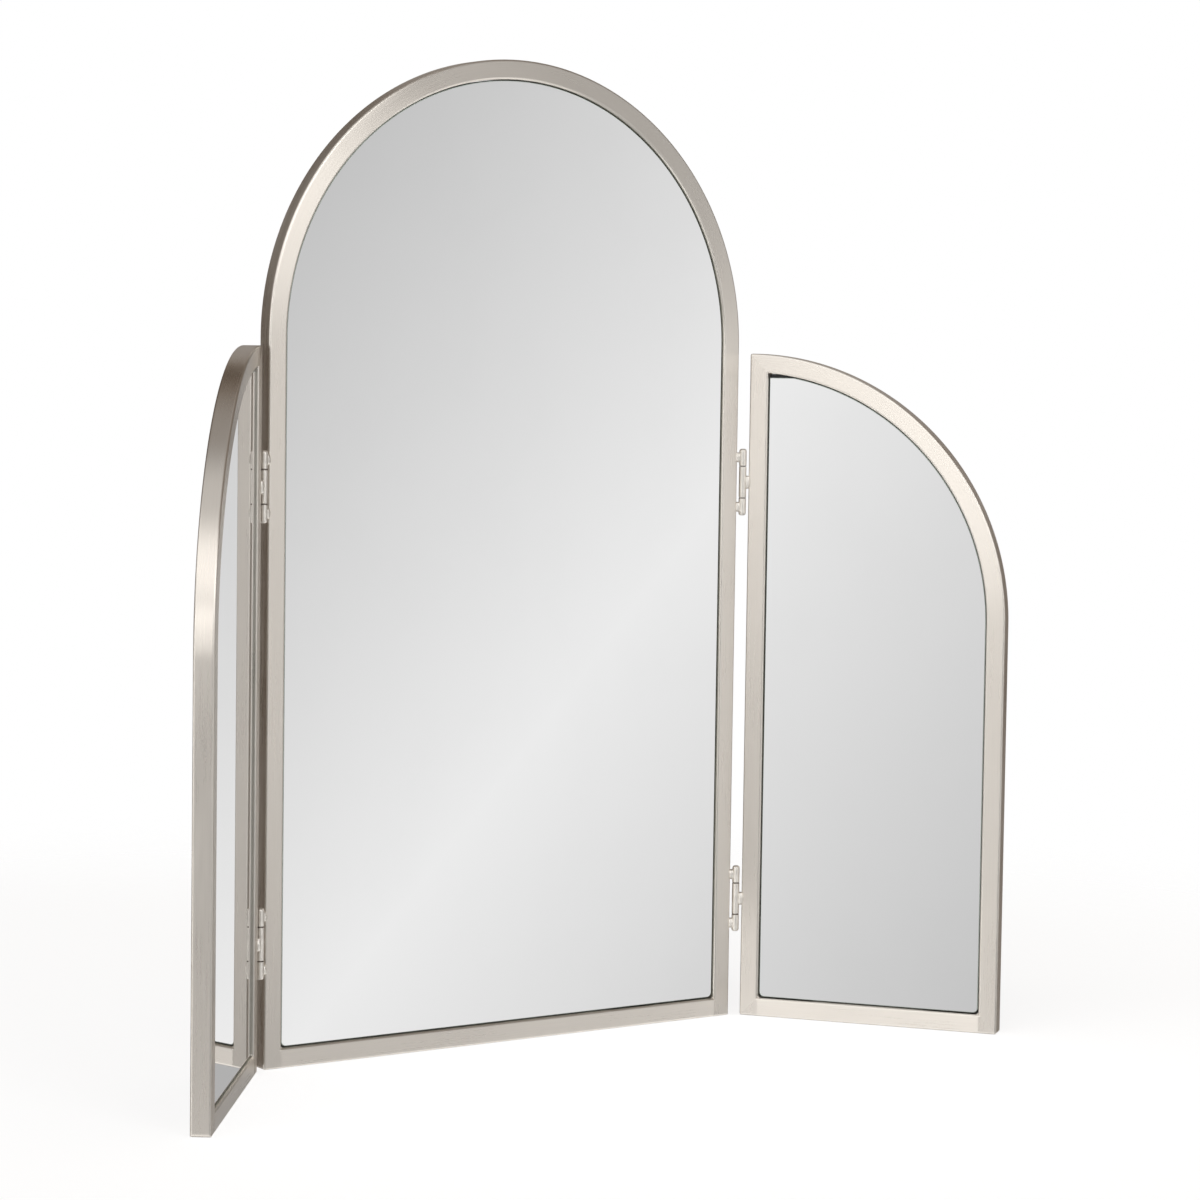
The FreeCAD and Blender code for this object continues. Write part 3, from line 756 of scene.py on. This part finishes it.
def tacked_knuckle():
    """Tree for one knuckle standing on Z = 0, with its weld bead towards +X at mid-height."""
    labels = ("Length", "Radius", "Foot Round", "Head Round", "Bead Away", "Bead Swell", "Bead Run",
              "Groove", "Foot Joint", "Head Joint", "Seed")
    given = {label: "Float" for label in labels}
    given["Material"] = "Material"
    tree, size, end = new_tree("tacked_knuckle", "GeometryNodeTree", given, {"Geometry": "Geometry"})
    sides = 40
    round_rings = 7
    barrel_rings = 16
    least_wave, wave_range = 0.955, 0.06
    least_lump, lump_range = 0.72, 0.5
    ripple_turn, ripple_height = 11, 0.035
    bead_depth = 1.1
    last = 2 * round_rings + barrel_rings - 1

    def round_section(index):
        return {"turn": index * (2 * math.pi / sides)}

    barrel, local = swept(tree, last + 1, sides, round_section)
    foot_turn = (local["ring"] / round_rings).clamped() * (math.pi / 2)
    head_turn = ((last - local["ring"]) / round_rings).clamped() * (math.pi / 2)
    middle = ((local["ring"] - round_rings) / (last - 2 * round_rings)).clamped()
    foot = size["Foot Round"]
    head = size["Head Round"]
    wide = size["Radius"] - foot * (1 - foot_turn.math("SINE")) - head * (1 - head_turn.math("SINE"))
    z = foot * (1 - foot_turn.math("COSINE")) + (size["Length"] - foot - head) * middle
    z = z + head * head_turn.math("COSINE")
    x = wide * local["turn"].math("COSINE")
    y = wide * local["turn"].math("SINE")
    place = vector(tree, x, y, z)
    shift = {"Vector": place, "W": size["Seed"], "Scale": 260.0, "Detail": 1.0}
    wave = least_wave + add(tree, "ShaderNodeTexNoise", shift, noise_dimensions="4D") * wave_range
    hammered = vector(tree, x * wave, y * wave, z)
    turned = add(tree, "GeometryNodeSetPosition", {"Geometry": barrel, "Position": hammered})
    # Painted shade: a mask over this band at each end that meets another knuckle, darkened in the hinge
    # finish.
    foot_line = (1 - z / size["Groove"]).clamped() * size["Foot Joint"]
    head_line = (1 - (size["Length"] - z) / size["Groove"]).clamped() * size["Head Joint"]
    turned = stored(tree, turned, "groove_shade", foot_line.at_least(head_line), "FLOAT", "POINT")

    ball = add(tree, "GeometryNodeMeshUVSphere", {"Segments": 32, "Rings": 24, "Radius": 1.0})
    here = add(tree, "ShaderNodeSeparateXYZ", {"Vector": add(tree, "GeometryNodeInputPosition")})
    ball_x, ball_y, ball_z = (Wire(tree, socket) for socket in here.socket.node.outputs)
    lump_noise = {"W": size["Seed"], "Scale": 1.6, "Detail": 2.0}
    lumps = add(tree, "ShaderNodeTexNoise", lump_noise, noise_dimensions="4D")
    ripple = (ball_z * ripple_turn).math("SINE") * ripple_height
    swell = size["Bead Swell"] * (least_lump + lumps * lump_range + ripple)
    stretch = ball_z.math("SIGN") * ball_z.math("ABSOLUTE").ramp(0, 0.5)
    bead_z = size["Length"] / 2 + ball_z * swell + stretch * size["Bead Run"] / 2
    bead_x = size["Bead Away"] + ball_x * swell * bead_depth
    bead_place = vector(tree, bead_x, ball_y * swell, bead_z)
    bead = add(tree, "GeometryNodeSetPosition", {"Geometry": ball, "Position": bead_place})
    both = tree.nodes.new("GeometryNodeJoinGeometry")
    tree.links.new(bead.socket, both.inputs[0])
    tree.links.new(turned.socket, both.inputs[0])
    finished(tree, Wire(tree, both.outputs[0]), size["Material"], end)
    return tree


def hinge_finish():
    """Satin plate, darkened by painted shade in the joints between knuckles."""
    made = plated("hinge_plate", (0.8, 0.76, 0.7), (0.9, 0.86, 0.8), 0.46, 0.00006)
    tree = made.node_tree
    colour = tree.nodes["Principled BSDF"].inputs["Base Color"]
    # The joints are blended towards the painted shade colour by the groove mask.
    groove_shade = add(tree, "ShaderNodeAttribute", output="Fac", attribute_name="groove_shade")
    bright = Wire(tree, colour.links[0].from_socket)
    plug(tree, colour, blended(tree, groove_shade.ramp(0.1, 0.7), bright, joint_shade))
    return made


def warmed(piece, spots):
    """Marks the straw-brown tint that welding leaves on a tube around these spots."""
    heat = piece.data.attributes.new("heat", "FLOAT", "POINT")
    for vertex in piece.data.vertices:
        near = min((vertex.co - spot).length for spot in spots)
        heat.data[vertex.index].value = math.exp(-(near / heat_reach) ** 2)


hinge_plate = hinge_finish()
knuckle_tree = tacked_knuckle()
axis_out = hinge_axis["right_wing"].x - panel_half + tube_edge
axis_ahead = tube_edge - tube_side / 2 - hinge_axis["right_wing"].y
bead_bearing = math.atan2(axis_ahead, axis_out)
toe_away = math.hypot(axis_ahead, axis_out)
weld_toes = {"centre_arch": [], "left_wing_stile": [], "right_wing_stile": []}
seed = 0
for side, sign in wing_sides.items():
    axis = hinge_axis[side + "_wing"]
    for level in ("upper", "lower"):
        for part, run in bead_runs.items():
            seed += 1
            name = f"{side}_{level}_hinge_{part}_knuckle"
            low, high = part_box(name)
            foot_joint = 0.0 if part == "bottom" else 1.0
            head_joint = 0.0 if part == "top" else 1.0
            sizes = {
                "Length": high.z - low.z, "Radius": knuckle_radius, "Groove": knuckle_groove,
                "Foot Round": knuckle_edge if foot_joint else knuckle_dome, "Foot Joint": foot_joint,
                "Head Round": knuckle_edge if head_joint else knuckle_dome, "Head Joint": head_joint,
                "Bead Away": bead_away, "Bead Swell": bead_swell, "Bead Run": run,
                "Seed": float(seed), "Material": hinge_plate,
            }
            to_wing = part == "middle"
            outward = sign if to_wing else -sign
            way = bead_bearing if outward > 0 else math.pi - bead_bearing
            if to_wing:
                way -= sign * wing_rest_fold
            place = Matrix.Translation((axis.x, axis.y, low.z)) @ Matrix.Rotation(way, 4, "Z")
            mesh = grow(knuckle_tree, name.replace("knuckle", "barrel"), sizes)
            body = side + "_wing" if to_wing else "centre_panel"
            fitted(mesh, name.replace("knuckle", "barrel"), body, [name], place)
            toe = place @ Vector((toe_away, 0, (high.z - low.z) / 2))
            weld_toes[side + "_wing_stile" if to_wing else "centre_arch"].append(toe)
        refinished(hinge_plate, f"{side}_{level}_hinge_pin")
for name, spots in weld_toes.items():
    warmed(bpy.data.objects[name], spots)

# The studio is a dim, warm room with a pale floor and soft-edged cards: softboxes at the left, a lamp over
# the camera, papers on the floor, and three graded cards that the mirrors look at. The camera itself sees
# white, and the disc under the mirror only keeps the shadow.
world = bpy.data.worlds.new("studio")
bpy.context.scene.world = world
world.use_nodes = True
sky = world.node_tree
sky.nodes.clear()
heading = add(sky, "ShaderNodeSeparateXYZ", {"Vector": add(sky, "ShaderNodeTexCoord")})
east, north, rise = (Wire(sky, socket) for socket in heading.socket.node.outputs)
bearing = east.math("ARCTAN2", north * -1) * math.degrees(1)
elevation = rise.math("ARCSINE") * math.degrees(1)


def along(x, y, z):
    """How far each direction of the studio points along one way."""
    return east * x + north * y + rise * z


def soft_box(left, right, low, high, soft):
    """Share of a soft-edged rectangle of the studio, in degrees of bearing and of elevation."""
    wide = bearing.ramp(left - soft, left + soft) * (1 - bearing.ramp(right - soft, right + soft))
    return wide * elevation.ramp(low - soft, low + soft) * (1 - elevation.ramp(high - soft, high + soft))


# Each card has its light, then its left, right, low and high edge and the half width of its soft border.
cards = {
    "high softbox at the left": (1.13, (-104, -22, 15, 44, 9)),
    "ceiling over it": (0.49, (-110, -15, 44, 70, 10)),
    "low panel at the left": (1.5, (-102, -72, -22, 1, 4)),
    "strip softbox at the left": (2.29, (-70, -44, -4, 14, 4)),
    "foot of the strip": (0.7, (-70, -40, -24, -10, 3)),
    "lamp over the camera": (2.66, (-10, 20, 8, 34, 6)),
    "panel in front": (0.92, (-4, 24, -10, 6, 4)),
    "head of that panel": (0.85, (0, 24, 1, 8, 3)),
    "paper in front": (0.12, (12, 40, -85, -15, 5)),
    "paper at the right": (1.0, (40, 80, -70, -18, 6)),
    "paper at the left": (0.8, (-100, -36, -70, -26, 8)),
    "paper behind": (0.35, (114, 150, -21, -9, 2)),
    "wall behind at the right": (0.22, (110, 165, 3, 42, 8)),
}
room_light = 0.1
front_light = 0.09
ceiling_light = 0.2
pale_floor_light = 0.3
level = room_light + (north * -1).ramp(-0.7, 0.1) * front_light + elevation.ramp(45, 80) * ceiling_light
level = level + (1 - elevation.ramp(-28, -14)) * pale_floor_light
for light, edges in cards.values():
    level = level + soft_box(*edges) * light
# The centre mirror looks at a card with a bright ridge across it, the right wing's at one that fades along
# a slope, and the left wing's, by way of the centre mirror, at one that darkens upwards.
ridge_top, ridge_line, ridge_reach, ridge_fall = 0.885, 0.022, 0.2, 2.05
ridge = along(0.643, 0.478, -0.599)
ridge_light = ridge_top - (ridge - ridge_line).math("ABSOLUTE").at_most(ridge_reach) * ridge_fall
level = level.towards(ridge_light, soft_box(24, 42, -15, 9, 3))
slope_start, slope_fall = 0.918, 1.91
slope = along(0.289, -0.781, -0.554)
slope_light = (slope_start - slope * slope_fall).at_least(0.3).at_most(1.3)
level = level.towards(slope_light, soft_box(-76, -58, -15, 5, 3))
upward_start, upward_fall = 0.67, 0.021
level = level.towards(upward_start - elevation * upward_fall, soft_box(41, 51, -15, 4, 1.5))
warm_wall = (1.0, 0.78, 0.6)
white = (1.0, 1.0, 1.0)
white_light = (level.ramp(0.05, 0.5) + soft_box(-60, 60, -90, 20, 10)).clamped()
room = blended(sky, white_light, warm_wall, white)
camera_ray = add(sky, "ShaderNodeLightPath", output="Is Camera Ray")
seen = blended(sky, camera_ray, room, white)
backdrop = add(sky, "ShaderNodeBackground", {"Color": seen, "Strength": level.towards(1.0, camera_ray)})
plug(sky, sky.nodes.new("ShaderNodeOutputWorld").inputs["Surface"], backdrop)

# The floor is a disc of white paper just under the rails. The camera sees it white, darker only where the
# mirror keeps light off it, and it fades out before its edge.
floor_radius = 1.4
floor_drop = 0.0005
floor_colour = 0.4
floor_light = 0.47


def pale_floor():
    """White paper for the camera, darker where the mirror keeps light off it; no other ray meets it."""
    made = bpy.data.materials.new("pale_floor")
    made.use_nodes = True
    tree = made.node_tree
    tree.nodes.clear()
    grey = (floor_colour, floor_colour, floor_colour, 1)
    paper = add(tree, "ShaderNodeBsdfDiffuse", {"Color": grey})
    glow_light = 1 - floor_colour * floor_light
    glow = add(tree, "ShaderNodeEmission", {"Color": (*white, 1), "Strength": glow_light})
    sweep = add(tree, "ShaderNodeAddShader", {0: paper, 1: glow})
    clear = add(tree, "ShaderNodeBsdfTransparent")
    place = add(tree, "ShaderNodeTexCoord", output="Object")
    away = add(tree, "ShaderNodeVectorMath", {0: place}, output="Value", operation="LENGTH")
    camera_ray = add(tree, "ShaderNodeLightPath", output="Is Camera Ray")
    from_below = add(tree, "ShaderNodeNewGeometry", output="Backfacing")
    shown = camera_ray * (1 - from_below) * (1 - away.ramp(0.5 * floor_radius, 0.98 * floor_radius))
    surface = add(tree, "ShaderNodeMixShader", {"Fac": shown, 1: clear, 2: sweep})
    plug(tree, tree.nodes.new("ShaderNodeOutputMaterial").inputs["Surface"], surface)
    return made


disc = bmesh.new()
bmesh.ops.create_circle(disc, cap_ends=True, segments=128, radius=floor_radius)
bmesh.ops.translate(disc, verts=disc.verts, vec=(0, 0, -floor_drop))
floor_mesh = bpy.data.meshes.new("floor")
disc.to_mesh(floor_mesh)
disc.free()
floor_mesh.materials.append(pale_floor())
floor = bpy.data.objects.new("floor", floor_mesh)
bpy.context.scene.collection.objects.link(floor)

# The camera stands 2.6 m away at the left and above the middle of the panel, with a long lens. Its picture
# is shifted a little, because the photo is not cropped about the lens's middle.
camera_data = bpy.data.cameras.new("camera")
camera = bpy.data.objects.new("camera", camera_data)
bpy.context.scene.collection.objects.link(camera)
bpy.context.scene.camera = camera
camera_place = (-1.4131, -2.1787, 0.5267)
yaw, pitch, roll = (math.radians(angle) for angle in (33.872, -3.632, 0.771))
level_aim = Matrix.Rotation(-yaw, 4, "Z") @ Matrix.Rotation(math.pi / 2 + pitch, 4, "X")
aim = level_aim @ Matrix.Rotation(roll, 4, "Z")
camera.matrix_world = Matrix.Translation(camera_place) @ aim
camera_data.sensor_width = 36
camera_data.lens = 100.41
camera_data.shift_x = 0.0333
camera_data.shift_y = -0.0167
camera_data.clip_end = 100

bpy.context.scene.view_settings.view_transform = "Standard"
